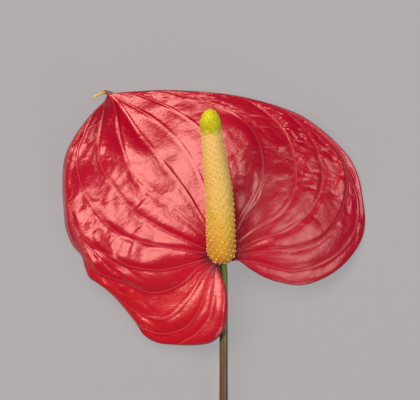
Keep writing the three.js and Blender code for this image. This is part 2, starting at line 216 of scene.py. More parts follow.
# Spathe. Lines in millimetres from the junction; margins also carry their height over the table
spathe = {
    "thickness": 0.75,
    "leastThickness": 0.6,
    "rows": 270,
    "columnSpacing": 1.15,
    "leastColumns": 9,  # of a panel
    "underEvery": 3,  # the underside has every third column
    "seatCentre": (-0.5, 3.2),
    "seatRadius": 3.2,
    "rightMargin": [
        (3, 0, 21), (7, 1, 21.4), (13, -3, 20.6), (20, -7, 18.8), (28, -9.5, 16.6), (36.5, -10.5, 14),
        (45.5, -8, 10.8), (54.5, -2.5, 7), (61, 4.5, 3.6), (65, 12, 1.3), (66, 19.5, 0.5), (65, 28.5, 1),
        (63, 39, 2.2), (59, 47.5, 3.3), (52.5, 55, 4.8), (45, 61.5, 6), (37, 67, 7), (27.5, 71, 7.8),
        (17.5, 74, 9.3), (6, 76.5, 10.6), (-7, 78, 11), (-26, 79, 9), (-38.5, 78.5, 7.3), (-52.5, 77.5, 5.5),
    ],
    "leftMargin": [
        (-1.5, -1.5, 21), (-0.5, -6, 21.4), (1.5, -11.5, 21.6), (2.5, -18.5, 21.4), (2, -26, 20.8),
        (0, -32, 19.4), (-4.5, -36.5, 17), (-11, -38, 14), (-21, -38, 10.4), (-30, -37, 7.8),
        (-36, -33.5, 6.8), (-39, -29, 6.4), (-43.5, -23, 7), (-50, -15.5, 8), (-56, -10.5, 8.4),
        (-61, -7, 7.8), (-63, -2.5, 6.4), (-64.5, 2.5, 4.8), (-69, 8, 3.2), (-72, 15.5, 1.6),
        (-73, 25, 0.5), (-73.5, 37.5, 3), (-72, 49, 8.4), (-66.5, 59.5, 13), (-59, 69, 13),
        (-54, 74, 9.4), (-52.5, 77.5, 5.5),
    ],
    # side, the angle at which a vein leaves the seat, the share of its margin where it joins, its way
    "veins": [
        ("right", -32, 0.6, [(15.5, 0), (31.5, -4), (48, 0), (59.5, 10.5), (63, 25), (55.5, 47)]),
        ("right", -8, 0.67, [(18.5, 5), (34.5, 6.5), (46, 11), (54.5, 22.5), (58, 36), (54, 49), (42, 61)]),
        ("right", 14, 0.725, [(16.5, 10), (30.5, 15.5), (42, 25.5), (46.5, 38), (43.5, 52.5), (30, 69)]),
        ("right", 32, 0.79, [(14, 14), (25.5, 22), (33.5, 33.5), (33.5, 47.5), (29, 60.5), (12, 74.5)]),
        ("right", 52, 0.915, [(9, 19.5), (16, 31.5), (19, 45.5), (15, 59.5), (3, 70), (-23, 77.5)]),
        ("right", 78, 0.97, [(3.5, 23), (2.5, 41.5), (-6.5, 58), (-19.5, 68.5), (-37, 76.5)]),
        ("right", 100, 1, [(-4, 19.5), (-9.5, 38), (-17.5, 52.5), (-27.5, 63), (-42.5, 72.5)]),
        ("right", 122, 1, [(-8.5, 19), (-18, 34.5), (-29.5, 49), (-38.5, 60.5), (-47.5, 73.5)]),
        ("left", 140, 1, [(-11.5, 16), (-23, 26), (-34, 34), (-42, 43.5), (-46.5, 56.5), (-49.5, 72)]),
        ("left", 156, 0.975, [(-14.5, 9), (-28.5, 15.5), (-41, 23.5), (-50.5, 35), (-56.5, 48), (-54.5, 69)]),
        ("left", 170, 0.94,
         [(-16, 5.5), (-34, 8.5), (-47.5, 13), (-58, 23), (-65, 36), (-66.5, 50.5), (-60.5, 65)]),
        ("left", 184, 0.855,
         [(-14.5, -0.5), (-28, -3.5), (-41.5, -2), (-54, 4), (-64.5, 11.5), (-70.5, 24), (-72, 40.5)]),
        ("left", 200, 0.615, [(-11, -3), (-20.5, -11), (-32.5, -14), (-45.5, -9), (-57.5, -4.5), (-61.5, 0)]),
        ("left", 216, 0.51, [(-8.5, -6), (-16, -17.5), (-26, -26), (-38.5, -23.5), (-51.5, -13.5)]),
        ("left", 232, 0.37, [(-6, -8.5), (-9.5, -20), (-17, -30), (-28.5, -33), (-35, -31)]),
        ("left", 243, 0.265, [(-3, -4), (-4, -15), (-6, -25.5), (-12.5, -33.5)]),
    ],
    "midrib": 8,
    # its heights, and the length between one and the next
    "midribHeights": (21, 21.4, 20.6, 18.9, 16.8, 14.2, 11, 7.9, 5.5),
    "midribStep": 12.0,
    # on each side of the midrib: the share of the way to the margin that stays level, and how it falls off
    "level": (0.28, 0.0),
    "shoulder": (1.35, 1.55),
    # the same for the right side along its top
    "topShoulder": 0.75,
    # how much later the left side falls off from its middle on, and near the tip
    "laterShoulder": (0.55, 2.2),
    # shallow groove along the midrib
    "channelDepth": 1.0,
    "channelWidth": 3.0,
    # how far the blade rises again on its left near the tip, and the shape of that rise on the way out
    "tipRise": 7,
    "riseShape": (3, 1.5, 0.48),
    # broad swells and dents: x, y, radius, height
    "swells": [(-19, -13, 13, -2.6), (-30, -30, 9, 1.2), (-30, 66, 9, -1.3), (-50, -2, 17, 3)],
    # values for the eight panels from the right margin to the midrib and the nine from there to the left one:
    # how far each swells between its two veins, as a share of its width, in its middle part
    "puff": (0.05, 0.06, 0.1, 0.09, 0.03, 0.09, 0.05, 0.04,
             0.1, 0.15, 0.14, 0.12, 0.11, 0.06, 0.1, 0.12, 0.16),
    # the same near the seat, near the tip, and the part of it that is lost at the tip itself
    "seatPuff": (0.08, 0.12, 0.12, 0.07, 0.02, 0.06, 0.06, 0.07,
                 0.16, 0.14, 0.14, 0.13, 0.11, 0.06, 0.12, 0.12, 0.2),
    "tipPuff": (0.05, 0.07, 0.13, 0.14, 0.1, 0.03, 0.03, 0.03,
                0.07, 0.11, 0.1, 0.08, 0.08, 0.06, 0.1, 0.12, 0.16),
    "tipLoss": 0.85,
    # how wide its two flanks are as shares of its width, the one to the midrib and the one away from it
    "innerFlanks": (0.5, 0.5, 0.3, 0.35, 0.5, 0.5, 0.5, 0.5,
                    1.0, 1.0, 1.0, 1.0, 0.9, 0.7, 0.7, 0.3, 0.6),
    "outerFlanks": (0.4, 0.5, 0.12, 0.25, 0.4, 0.3, 0.4, 0.4,
                    0.42, 0.42, 0.32, 0.3, 0.3, 0.3, 0.3, 0.7, 0.4),
    # the same for every panel near the seat, and on the right and the left near the tip
    "seatFlanks": (0.5, 0.35),
    "tipFlanks": ((0.4, 0.6), (0.7, 0.4)),
    # shares of the way from the seat to the tip over which one shape gives way to the next
    "spans": {
        "swellingStarts": (0, 0.1),
        "middlePuff": (0.15, 0.4),
        "tipPuff": (0.52, 0.66),
        "tipLosesRight": (0.68, 0.8),
        "tipLosesLeft": (0.68, 0.9),
        "middleFlanks": (0.1, 0.3),
        "tipFlanks": (0.5, 0.62),
        "alongTop": (0.72, 0.88),
        "middleShoulder": (0.35, 0.55),
        "tipShoulder": (0.6, 0.78),
        "channelStarts": (0.6, 0.8),
        "channelEnds": (0.88, 1),
        "riseStarts": (0.49, 0.76),
        "riseEnds": (0.92, 1),
        "reliefStarts": (0.02, 0.12),
        "reliefEnds": (0.93, 1),
        "netStarts": (0.15, 0.45),
        "flareStarts": (0.45, 0.55),
        "flareEnds": (0.7, 0.79),
    },
    # raised ribs, where they fade out at the margin, and the softer ribs of the underside
    "ribHeight": 0.5,
    "ribWidth": 0.52,
    "ribEnds": (0.3, 2.0),
    "lowRibHeight": 0.3,
    "lowRibWidth": 0.9,
    # width over which relief fades out at a panel's inner vein, at its outer vein and at the margin
    "reliefFades": (1.6, 3.6, 2.5),
    "waveDepth": 0.5,
    "waveSize": 9.0,
    # seed of the waves, and how far it moves on from panel to panel
    "waveSeeds": (5.0, 0.37),
    # where the left margin is ruffled: x, y, radius, how many times deeper the waves are there
    "ruffle": (-47, -8, 13, 1.8),
    # nets of small veins: size of a cell across and along, how far it swells, and how steeply it leans
    "nets": [((8.0, 7.5), 0.36, 0.36), ((3.6, 5.0), 0.2, 0.24), ((1.7, 2.3), 0.09, 0.0)],
    "netLength": 150.0,  # from the seat to the tip, as the nets take it
    # how far and at what scale the cells are bent, where a cell is full and how much of it is a dent, and
    # where its lean is full
    "netBend": (0.3, 0.8),
    "netVein": (0.5, 0.6),
    "netLeans": 0.22,
    # how far the seeds move on from net to net, from panel to panel and from cell to cell
    "netSeeds": (11.0, 31.7, 19.7),
    # seed of the noise that bends the cells, the same one for every net
    "bendSeed": 1,
    # how much longer cells are along the veins on the left
    "drawnOut": 1.8,
    # how much of that relief each panel has
    "netShares": (1.1, 1.2, 1.2, 1.0, 0.5, 0.2, 0.1, 0.05,
                  0.2, 0.35, 0.5, 0.7, 0.8, 0.8, 0.7, 0.5, 0.8),
    # fine pleats that run out of the seat: how steep, how many to a turn of one radian, how long a fold is,
    # and the radii at which they begin, are full, fade and end
    "pleatSlope": 0.006,
    "pleats": 13,
    "pleatLength": 30,
    "pleatRadii": (3, 8, 12, 32),
    # how far the right margin turns up, over what width
    "flare": 0.7,
    "flareWidth": 1.7,
    # how far the middle of the blunt edge stands out, how close points are made one, and the shortest edge
    "edgeOut": 0.22,
    "weld": 0.012,
    "leastEdge": 0.004,
}


def bladeLines(rows):
    margins = {side: splineThrough(spathe[side + "Margin"], rows) for side in ("right", "left")}
    share = np.linspace(0, 1, rows + 1)
    fine = 4000
    lines = [margins["right"][:, :2]]
    for side, leaves, joins, way in spathe["veins"]:
        angle = math.radians(leaves)
        fromCentre = np.multiply(spathe["seatRadius"], (math.cos(angle), math.sin(angle)))
        start = np.add(spathe["seatCentre"], fromCentre)
        margin = margins[side][:, :2]
        end = [np.interp(joins, share, margin[:, k]) for k in (0, 1)]
        curve = splineThrough([start, *way, end], fine)
        place = np.minimum(share / joins, 1) * fine
        line = np.column_stack([np.interp(place, np.arange(fine + 1), curve[:, k]) for k in (0, 1)])
        line[share > joins] = margin[share > joins]
        lines.append(line)
    lines.append(margins["left"][:, :2])
    return lines, margins["right"][:, 2], margins["left"][:, 2], share


def columnShares(width):
    # closer together beside the veins, where the rib and its groove are
    every = spathe["underEvery"]
    count = every * math.ceil(max(spathe["leastColumns"], width / spathe["columnSpacing"]) / every)
    even = np.arange(count) / count
    return 0.5 * even + 0.5 * (0.5 - 0.5 * np.cos(np.pi * even))


def spanStep(key, share):
    return smoothStep(*spathe["spans"][key], share)


def domeHeights(grid, edge):
    # the blade falls from the midrib, which is a smooth curve through its heights, to both margins
    share, across, isRight = grid["share"], grid["across"], grid["isRight"]
    stations = [(spathe["midribStep"] * k, height) for k, height in enumerate(spathe["midribHeights"])]
    fall = splineThrough(stations, count=400)
    midrib = np.interp(share, fall[:, 0] / fall[-1, 0], fall[:, 1])
    toTop = spanStep("alongTop", share) * isRight
    level = np.where(isRight, *spathe["level"]) * (1 - toTop)
    shoulder = np.where(isRight, *spathe["shoulder"])
    shoulder = shoulder + (spathe["topShoulder"] - shoulder) * toTop
    middleMore, tipMore = spathe["laterShoulder"]
    later = middleMore * spanStep("middleShoulder", share) + tipMore * spanStep("tipShoulder", share)
    shoulder = shoulder + later * ~isRight
    dome = edge + (midrib - edge) * (1 - (np.maximum(across - level, 0) / (1 - level)) ** shoulder)
    channel = spathe["channelDepth"] * spanStep("channelStarts", share) * (1 - spanStep("channelEnds", share))
    dome = dome - channel * ridge(grid["reach"], spathe["channelWidth"])
    gain, outward, backDown = spathe["riseShape"]
    rise = np.where(isRight, 0, gain * across ** outward * np.maximum(1 - across, 0) ** backDown)
    rise = rise * spanStep("riseStarts", share) * (1 - spanStep("riseEnds", share))
    dome = dome + spathe["tipRise"] * rise
    for x, y, radius, height in spathe["swells"]:
        dome = dome + height * bell(grid["plan"], x, y, radius)
    return dome


def panelSwelling(grid):
    # each panel swells between its two veins, with one flank to the midrib and one away from it
    share, panel, isRight = grid["share"], grid["panel"], grid["isRight"]
    puff, seatPuff, tipPuff = (np.array(spathe[key])[panel] for key in ("puff", "seatPuff", "tipPuff"))
    puff = seatPuff + (puff - seatPuff) * spanStep("middlePuff", share)
    puff = puff + (tipPuff - puff) * spanStep("tipPuff", share)
    lost = np.where(isRight, spanStep("tipLosesRight", share), spanStep("tipLosesLeft", share))
    swelling = puff * spanStep("swellingStarts", share) * (1 - spathe["tipLoss"] * lost) * grid["width"]
    fromMidrib = np.where(isRight, 1 - grid["part"], grid["part"])
    for k, place, key in ((0, fromMidrib, "innerFlanks"), (1, 1 - fromMidrib, "outerFlanks")):
        flank = spathe["seatFlanks"][k]
        flank = flank + (np.array(spathe[key])[panel] - flank) * spanStep("middleFlanks", share)
        flank = flank + (np.where(isRight, *spathe["tipFlanks"][k]) - flank) * spanStep("tipFlanks", share)
        swelling = swelling * (1 - np.maximum(1 - place / flank, 0) ** 2)
    return swelling


def bladeGrid():
    # the upper face as rows from the seat to the tip and columns from the right margin to the left;
    # part is the share of the way from one vein to the next, reach the length from the midrib
    lines, rightHeight, leftHeight, share = bladeLines(spathe["rows"])
    plan, part, panel, width = [], [], [], []
    middle = 0
    for k in range(len(lines) - 1):
        apart = np.linalg.norm(lines[k + 1] - lines[k], axis=1)
        if k == spathe["midrib"]:
            middle = len(plan)
        for t in columnShares(apart.max()):
            plan.append(lines[k] * (1 - t) + lines[k + 1] * t)
            part.append(t)
            panel.append(k)
            width.append(apart)
    plan.append(lines[-1])
    part.append(1.0)
    panel.append(len(lines) - 2)
    width.append(width[-1])
    plan = np.stack(plan, 1)
    width = np.stack(width, 1)
    steps = np.linalg.norm(np.diff(plan, axis=1), axis=2)
    run = np.concatenate([np.zeros((len(plan), 1)), np.cumsum(steps, axis=1)], axis=1)
    reach = np.abs(run - run[:, middle:middle + 1])
    isRight = np.arange(plan.shape[1])[None, :] < middle
    whole = np.where(isRight, reach[:, :1], reach[:, -1:])
    grid = {"plan": plan, "width": width, "reach": reach, "across": reach / np.maximum(whole, 1e-6)}
    for key, values in (("share", share[:, None]), ("part", part), ("panel", panel), ("isRight", isRight)):
        grid[key] = np.broadcast_to(values, width.shape)
    grid["toVein"] = np.minimum(grid["part"], 1 - grid["part"]) * width
    grid["toEdge"] = np.minimum(run, run[:, -1:] - run)
    edge = np.where(isRight, rightHeight[:, None], leftHeight[:, None])
    grid["body"] = domeHeights(grid, edge) + panelSwelling(grid)
    return grid


def netRelief(grid, number, cell, depth, lean):
    # net of small veins between the main ones, whose cells swell and lean each its own way
    acrossSize, alongSize = cell
    alongSize = np.where(grid["isRight"][0], alongSize, alongSize * spathe["drawnOut"])
    noise.seed_set(spathe["bendSeed"])  # without it noise_vector starts from the clock
    fromNet, fromPanel, fromCell = spathe["netSeeds"]
    seed = fromNet * number
    bend, bendScale = spathe["netBend"]
    full, dent = spathe["netVein"]
    outward = grid["part"] * grid["width"] / acrossSize
    u = outward + fromPanel * grid["panel"] + seed
    v = grid["share"] * spathe["netLength"] / alongSize + 0.5 * outward
    inside = np.zeros(u.shape)
    tilted = np.zeros(u.shape)
    for j, i in np.ndindex(u.shape):
        place = Vector((u[j, i], v[j, i], seed))
        place += bend * noise.noise_vector(place * bendScale)
        distances, nearest = noise.voronoi(place)
        inside[j, i] = distances[1] - distances[0]
        if lean:
            way = noise.cell_vector(nearest[0] * fromCell)
            away = place - nearest[0]
            tilted[j, i] = (way.x - 0.5) * away.x * acrossSize + (way.y - 0.5) * away.y * alongSize[i]
    swell = depth * (smoothStep(0.0, full, inside) - dent)
    return swell + lean * tilted * smoothStep(0.0, spathe["netLeans"], inside)


def pleatRelief(grid):
    # shallow folds that fan out of the seat and fade into the panels
    begin, full, fading, end = spathe["pleatRadii"]
    height = np.zeros(grid["width"].shape)
    away = grid["plan"] - spathe["seatCentre"]
    radius = np.linalg.norm(away, axis=2)
    for j, i in np.argwhere((radius > begin) & (radius < end)):
        x, y = away[j, i] / radius[j, i] * spathe["pleats"]
        height[j, i] = noise.noise(Vector((x, y, radius[j, i] / spathe["pleatLength"])))
    fade = smoothStep(begin, full, radius) * (1 - smoothStep(fading, end, radius))
    return spathe["pleatSlope"] * radius * height * fade


def waveRelief(grid):
    # slow waves, other ones in each panel, and deeper where the margin is ruffled
    size, (seed, fromPanel) = spathe["waveSize"], spathe["waveSeeds"]
    waves = np.zeros(grid["width"].shape)
    for j, i in np.ndindex(waves.shape):
        x, y = grid["plan"][j, i]
        waves[j, i] = noise.noise(Vector((x / size, y / size, seed + fromPanel * grid["panel"][j, i])))
    x, y, radius, deeper = spathe["ruffle"]
    return spathe["waveDepth"] * (1 + deeper * bell(grid["plan"], x, y, radius)) * waves


def slopes(grid):
    # how much longer the smooth surface is than its plan, up to twice
    along, across = np.gradient(grid["plan"], axis=0), np.gradient(grid["plan"], axis=1)
    climbAlong, climbAcross = np.gradient(grid["body"], axis=0), np.gradient(grid["body"], axis=1)
    turn = along[..., 0] * across[..., 1] - along[..., 1] * across[..., 0]
    turn = np.where(np.abs(turn) < 1e-5, 1e-5, turn)
    dx = (climbAlong * across[..., 1] - climbAcross * along[..., 1]) / turn
    dy = (climbAcross * along[..., 0] - climbAlong * across[..., 0]) / turn
    return np.minimum(np.sqrt(1 + dx ** 2 + dy ** 2), 2.0)


def bladeFaces(grid):
    # heights of the upper face with its relief, and of the underside
    share, toVein, toEdge, body = (grid[key] for key in ("share", "toVein", "toEdge", "body"))
    fade = spanStep("reliefStarts", share) * (1 - spanStep("reliefEnds", share))
    # relief stays clear of the veins, the more so on the side of a panel that falls to its outer vein
    toOuter = np.where(grid["isRight"], grid["part"], 1 - grid["part"]) * grid["width"]
    toInner = grid["width"] - toOuter
    inner, outer, margin = spathe["reliefFades"]
    room = smoothStep(0, inner, toInner) * smoothStep(0, outer, toOuter)
    room = room * smoothStep(0, margin, toEdge) * fade
    relief = waveRelief(grid) * room
    room = room * spanStep("netStarts", share) * np.array(spathe["netShares"])[grid["panel"]]
    for k, (cell, depth, lean) in enumerate(spathe["nets"]):
        relief = relief + netRelief(grid, k, cell, depth, lean) * room
    relief = relief + pleatRelief(grid) * fade
    flare = spanStep("flareStarts", share) * (1 - spanStep("flareEnds", share)) * grid["isRight"]
    relief = relief + spathe["flare"] * flare * ridge(toEdge, spathe["flareWidth"])
    rib = spathe["ribHeight"] * ridge(toVein, spathe["ribWidth"])
    rib = rib * fade * smoothStep(*spathe["ribEnds"], toEdge)
    lowRib = spathe["lowRibHeight"] * ridge(toVein, spathe["lowRibWidth"]) * fade
    under = body - spathe["thickness"] * slopes(grid) - lowRib
    # the underside gives way where the relief goes deep
    under = np.maximum(np.minimum(under, body + relief - spathe["leastThickness"]), 0.0)
    return np.maximum(body + relief + rib, under + spathe["leastThickness"]), under


def makeBlade():
    grid = bladeGrid()
    top, under = bladeFaces(grid)
    points, faces = [], []
    attributes = {key: [] for key in ("toVein", "toEdge", "under")}
    rows, columns = top.shape
    lowColumns = sorted(set(range(0, columns, spathe["underEvery"])) | {columns - 1})

    def addSheet(height, chosen, isUnder):
        base, count = len(points), len(chosen)
        plan = grid["plan"][:, chosen].reshape(-1, 2) + junction
        points.extend(np.column_stack([plan, height[:, chosen].ravel()]))
        for key in ("toVein", "toEdge"):
            attributes[key].extend(grid[key][:, chosen].ravel())
        attributes["under"].extend([float(isUnder)] * len(plan))
        for j in range(rows - 1):
            for i in range(count - 1):
                a = base + j * count + i
                quad = (a, a + count, a + count + 1, a + 1)
                faces.append(quad[::-1] if isUnder else quad)
        return base

    def addPoint(point, like):
        points.append(np.array(point))
        for key in attributes:
            attributes[key].append(attributes[key][like])
        return len(points) - 1

    upper = addSheet(top, list(range(columns)), False)
    lower = addSheet(under, lowColumns, True)
    seatPlan = np.add(spathe["seatCentre"], junction)
    seat = addPoint((*seatPlan, seatHeight), upper)
    seatUnder = addPoint((*seatPlan, seatHeight - spathe["thickness"]), lower)
    for base, count, centre in ((upper, columns, seat), (lower, len(lowColumns), seatUnder)):
        for a in range(count):
            b = (a + 1) % count
            faces.append((base + b, base + a, centre) if base == lower else (base + a, base + b, centre))

    # the edge is blunt and slightly rounded: a line of points stands out half way down it
    upperRing = [upper + j * columns for j in range(rows)]
    upperRing += [upper + j * columns + columns - 1 for j in range(rows - 2, -1, -1)]
    lowerRing = [lower + j * len(lowColumns) for j in range(rows)]
    lowerRing += [lower + (j + 1) * len(lowColumns) - 1 for j in range(rows - 2, -1, -1)]
    outs = []
    for k, a in enumerate(upperRing):
        before, after = points[upperRing[k - 1]], points[upperRing[(k + 1) % len(upperRing)]]
        along = (after - before)[:2]
        along = along / max(np.linalg.norm(along), 1e-6)
        outward = spathe["edgeOut"] * np.array((along[1], -along[0], 0))
        outs.append(addPoint((points[a] + points[lowerRing[k]]) / 2 + outward, a))
    for k in range(len(upperRing)):
        n = (k + 1) % len(upperRing)
        faces.append((upperRing[n], upperRing[k], outs[k], outs[n]))
        faces.append((outs[n], outs[k], lowerRing[k], lowerRing[n]))

    blade = makeObject("spatheBlade", points, faces, attributes)
    work = bmesh.new()
    work.from_mesh(blade.data)
    bmesh.ops.remove_doubles(work, verts=work.verts, dist=spathe["weld"] * mm)
    bmesh.ops.dissolve_degenerate(work, edges=work.edges, dist=spathe["leastEdge"] * mm)
    work.to_mesh(blade.data)
    work.free()
    return blade


spatheLook = {
    "crimson": (0.365, 0.001, 0.018),
    "orangeRed": (0.44, 0.007, 0.014),
    # deeper red for random clouds, and for the painted shade beside the ribs
    "deep": (0.29, 0.0003, 0.016),
    # painted highlight along the ribs
    "rib": (0.5, 0.05, 0.055),
    # painted highlight inside the upper right margin
    "rimHighlight": (0.46, 0.06, 0.08),
    "maroon": (0.09, 0.002, 0.012),
    # painted shade round the seat
    "throatShade": (0.05, 0.0015, 0.012),
    "underside": (0.46, 0.045, 0.06),
    # places in metres between which the orange-red lobe begins, and the painted highlight inside the upper
    # right margin
    "lobeX": (0.012, -0.004),
    "lobeY": (0.092, 0.064),
    "rimX": (0.0, 0.025),
    "rimY": (0.1, 0.115),
    # how far the painted shade round the seat reaches, to the right and to the left and down, and its streaks
    # past it
    "throatReach": (0.006, 0.009),
    "throatSide": (-0.8, -0.6, 0),
    "streakReach": 0.006,
    "cloudScale": 32,
    "highlightTint": (1.0, 0.6, 0.55),
    "highlight": 0.85,
    "roughness": 0.26,
    "unevenRoughness": 0.06,
    "underRoughness": 0.25,
    # fine grain and soft creases: their scales, depths in metres and strengths
    "grain": (1100.0, 0.0001, 0.4),
    "crease": (360, 0.0006, 0.3),
}


def paintedThroatShade(tree, place):
    # painted shade round the seat, with streaks of painted shade that fan out of it
    seat = [n * mm for n in np.add(spathe["seatCentre"], junction)]
    away = vectorMath(tree, "SUBTRACT", place, (*seat, 0))
    away = vectorMath(tree, "MULTIPLY", away, (1, 1, 0))
    radius = vectorMath(tree, "LENGTH", away)
    way = vectorMath(tree, "NORMALIZE", away)
    streaks = noiseValue(tree, way, 9, 3, 0.6)
    toDark = vectorMath(tree, "DOT_PRODUCT", way, spatheLook["throatSide"])
    reach = ramp(tree, toDark, -0.4, 0.8, *spatheLook["throatReach"])
    reach = mathNode(tree, "ADD", reach, ramp(tree, streaks, 0.3, 0.7, 0, spatheLook["streakReach"]))
    return ramp(tree, mathNode(tree, "DIVIDE", radius, reach), 1.0, 0.45, 0, 0.8)


def waxyRed():
    material, tree = newMaterial("waxyRed")
    look = spatheLook
    place = objectPlace(tree)
    spot = addNode(tree, "ShaderNodeSeparateXYZ", {0: place})
    x, y = spot.outputs["X"], spot.outputs["Y"]
    clouds = noiseValue(tree, place, look["cloudScale"], 3)
    toVein, toEdge, under = (attribute(tree, name) for name in ("toVein", "toEdge", "under"))
    # the lower left lobe is more orange, and clouds of a deeper red lie over the whole
    lobe = product(tree, ramp(tree, y, *look["lobeY"]), ramp(tree, x, *look["lobeX"]))
    color = mixColors(tree, lobe, look["crimson"], look["orangeRed"])
    color = mixColors(tree, ramp(tree, clouds, 0.35, 0.7, 0, 0.35), color, look["deep"])
    # painted highlight along the ribs, with a band of painted shade on each side
    ribShade = mathNode(tree, "SUBTRACT", ramp(tree, toVein, 2.2, 0.5), ramp(tree, toVein, 0.55, 0.1))
    color = mixColors(tree, product(tree, ribShade, 0.35), color, look["deep"])
    color = mixColors(tree, ramp(tree, toVein, 0.5, 0.0, 0, 0.6), color, look["rib"])
    # painted shade round the seat
    color = mixColors(tree, paintedThroatShade(tree, place), color, look["throatShade"])
    color = mixColors(tree, product(tree, under, 0.7), color, look["underside"])
    # painted highlight in a band inside the upper right margin, and a dark line along every margin
    upper = product(tree, ramp(tree, x, *look["rimX"]), ramp(tree, y, *look["rimY"]))
    paintedRimHighlight = product(tree, ramp(tree, toEdge, 2.4, 1.4), product(tree, upper, 0.6))
    color = mixColors(tree, paintedRimHighlight, color, look["rimHighlight"])
    color = mixColors(tree, ramp(tree, toEdge, 0.6, 0.1, 0, 0.6), color, look["maroon"])
    scale, depth, strength = look["grain"]
    cells = addNode(tree, "ShaderNodeTexVoronoi", {"Vector": place, "Scale": scale}).outputs["Distance"]
    normal = bump(tree, cells, depth, strength)
    scale, depth, strength = look["crease"]
    normal = bump(tree, noiseValue(tree, place, scale, 4, 0.62), depth, strength, normal)
    rough = ramp(tree, clouds, 0.3, 0.7, look["roughness"], look["roughness"] + look["unevenRoughness"])
    rough = mathNode(tree, "ADD", rough, product(tree, under, look["underRoughness"]))
    setShader(tree, {
        "Base Color": color,
        "Normal": normal,
        "Roughness": rough,
        "Specular Tint": (*look["highlightTint"], 1),
        "Specular IOR Level": look["highlight"],
    })
    return material


# Dry point at the spathe's tip, from the junction, heights over the table
tail = {
    "way": [(-50.8, 77.2, 5.2), (-52.4, 77.9, 5.1), (-53.8, 78.3, 5.3),
            (-55.4, 77.9, 5.8), (-57.8, 76.8, 6.5), (-60, 75.5, 7.1)],
    # its radii at shares of its length
    "radii": [(0, 0.9), (0.25, 0.75), (0.8, 0.5), (1, 0.22)],
    "fold": 0.25,
    "twist": 2.4,  # in radians
    "sides": 10,
    "steps": 24,
    "colors": [(0.0, (0.2, 0.03, 0.02)), (0.3, (0.16, 0.06, 0.02)), (0.42, (0.5, 0.3, 0.09)),
               (0.75, (0.66, 0.46, 0.16)), (1.0, (0.55, 0.34, 0.12))],
    "speck": (0.2, 0.09, 0.03),
    "roughness": 0.55,
}


def makeTail():
    # a thin twisted bar, sunk into the blade's end
    sides, steps = tail["sides"], tail["steps"]
    way = splineThrough(tail["way"], steps)
    points, along = [], []
    for k, middle in enumerate(way):
        side, top = squareTo(way, k, (0, 0, 1))[1:]
        share = k / steps
        radius = np.interp(share, *zip(*tail["radii"]))
        for turn in turns(sides):
            turn += tail["twist"] * share
            flat = radius * (1 + tail["fold"] * math.cos(2 * turn))
            points.append(middle + flat * (math.cos(turn) * side + math.sin(turn) * top))
            along.append(share)
    points = np.array(points + [way[0], way[-1]]) + (*junction, 0)
    along += [0.0, 1.0]
    faces = [face[::-1] for face in tubeFaces(steps + 1, sides)]
    return makeObject("tail", points, faces, {"along": along})


def dryTan():
    material, tree = newMaterial("dryTan")
    place = objectPlace(tree)
    color = colorBand(tree, attribute(tree, "along"), tail["colors"])
    speck = ramp(tree, noiseValue(tree, place, 900, 2), 0.45, 0.65, 0, 0.4)
    setShader(tree, {
        "Base Color": mixColors(tree, speck, color, tail["speck"]),
        "Normal": bump(tree, noiseValue(tree, place, 1500, 2), 0.0001),
        "Roughness": tail["roughness"],
    })
    return material


printStage("spathe")
blade = makeBlade()
blade.data.materials.append(waxyRed())
dryPoint = makeTail()
dryPoint.data.materials.append(dryTan())
for piece in (blade, dryPoint):
    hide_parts("spathe")
    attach(piece, "root")


# Spadix. Its axis from the junction, with heights over the seat
spadix = {
    "axis": [(-0.2, 0.1, 4.5), (-0.4, 9.7, 8.5), (-1.3, 29, 16.4), (-3.9, 50.6, 25.1), (-5.3, 62, 29.6),
             (-5.5, 69.3, 32.4)],
    "baseRadius": 6.25,
    "tipRadius": 4.1,
    # shares of the length between which it tapers, and the length of its two rounded ends
    "taper": (0.3, 1.15),
    "baseRounding": 6.1,
    "tipRounding": 7,
    "fleshRings": 130,
    "fleshSides": 40,
    "axisSteps": 200,
    "florets": 470,
    "goldenTurn": 2.39996,
    "floretSize": 2.3,
    "uneven": 0.12,
    "seed": 4,
    # a floret's pad, with its hollow crown, and its bead: distance from its axis, height, and a mark, which
    # is 1 in the hollow and -1 at the top of the bead
    "padSides": 16,
    "padSwell": 0.04,
    "pad": [(0.7, -0.06, 0.35), (0.61, 0.0, 0.3), (0.5, 0.05, 0.1), (0.38, 0.085, 0.0), (0.29, 0.085, 0.0),
            (0.21, 0.04, 0.5), (0.12, -0.02, 1.0), (0, -0.05, 1.0)],
    "beadSides": 8,
    "bead": [(0.24, -0.05, -0.4), (0.24, 0.12, -0.6), (0.21, 0.23, -0.9), (0.13, 0.31, -1.0),
             (0, 0.34, -1.0)],
    # how uneven the beads are, where along the spadix they get smaller, and how small
    "beadSizes": (0.7, 1.15),
    "beadsFade": (0.22, 0.8),
    "leastBead": 0.68,
}


def spadixProfile(steps):
    # places along the axis an even share of the skin's area apart, with the radius and lean of the skin there
    way = splineThrough(spadix["axis"], count=2000)
    length = np.r_[0, np.cumsum(np.linalg.norm(np.diff(way, axis=0), axis=1))]
    along = np.linspace(0, length[-1], num=4000)
    middle = np.column_stack([np.interp(along, length, way[:, k]) for k in range(3)])
    taper = smoothStep(*spadix["taper"], along / length[-1])
    radius = spadix["baseRadius"] + (spadix["tipRadius"] - spadix["baseRadius"]) * taper
    # both ends are rounded off as half ellipsoids
    short = np.maximum(1 - along / spadix["baseRounding"], 1 - (length[-1] - along) / spadix["tipRounding"])
    radius = radius * np.sqrt(np.maximum(1 - np.maximum(short, 0) ** 2, 0))
    step = np.hypot(np.diff(along), np.diff(radius))
    area = np.r_[0, np.cumsum(step * (radius[1:] + radius[:-1]) / 2)]
    area = area / area[-1]
    lean = np.arctan2(-np.gradient(radius), np.gradient(along))
    even = np.linspace(0, 1, steps + 1)
    evenMiddle = np.column_stack([np.interp(even, area, middle[:, k]) for k in range(3)])
    radius, lean, run = (np.interp(even, area, values) for values in (radius, lean, along / along[-1]))
    return evenMiddle, radius, lean, run


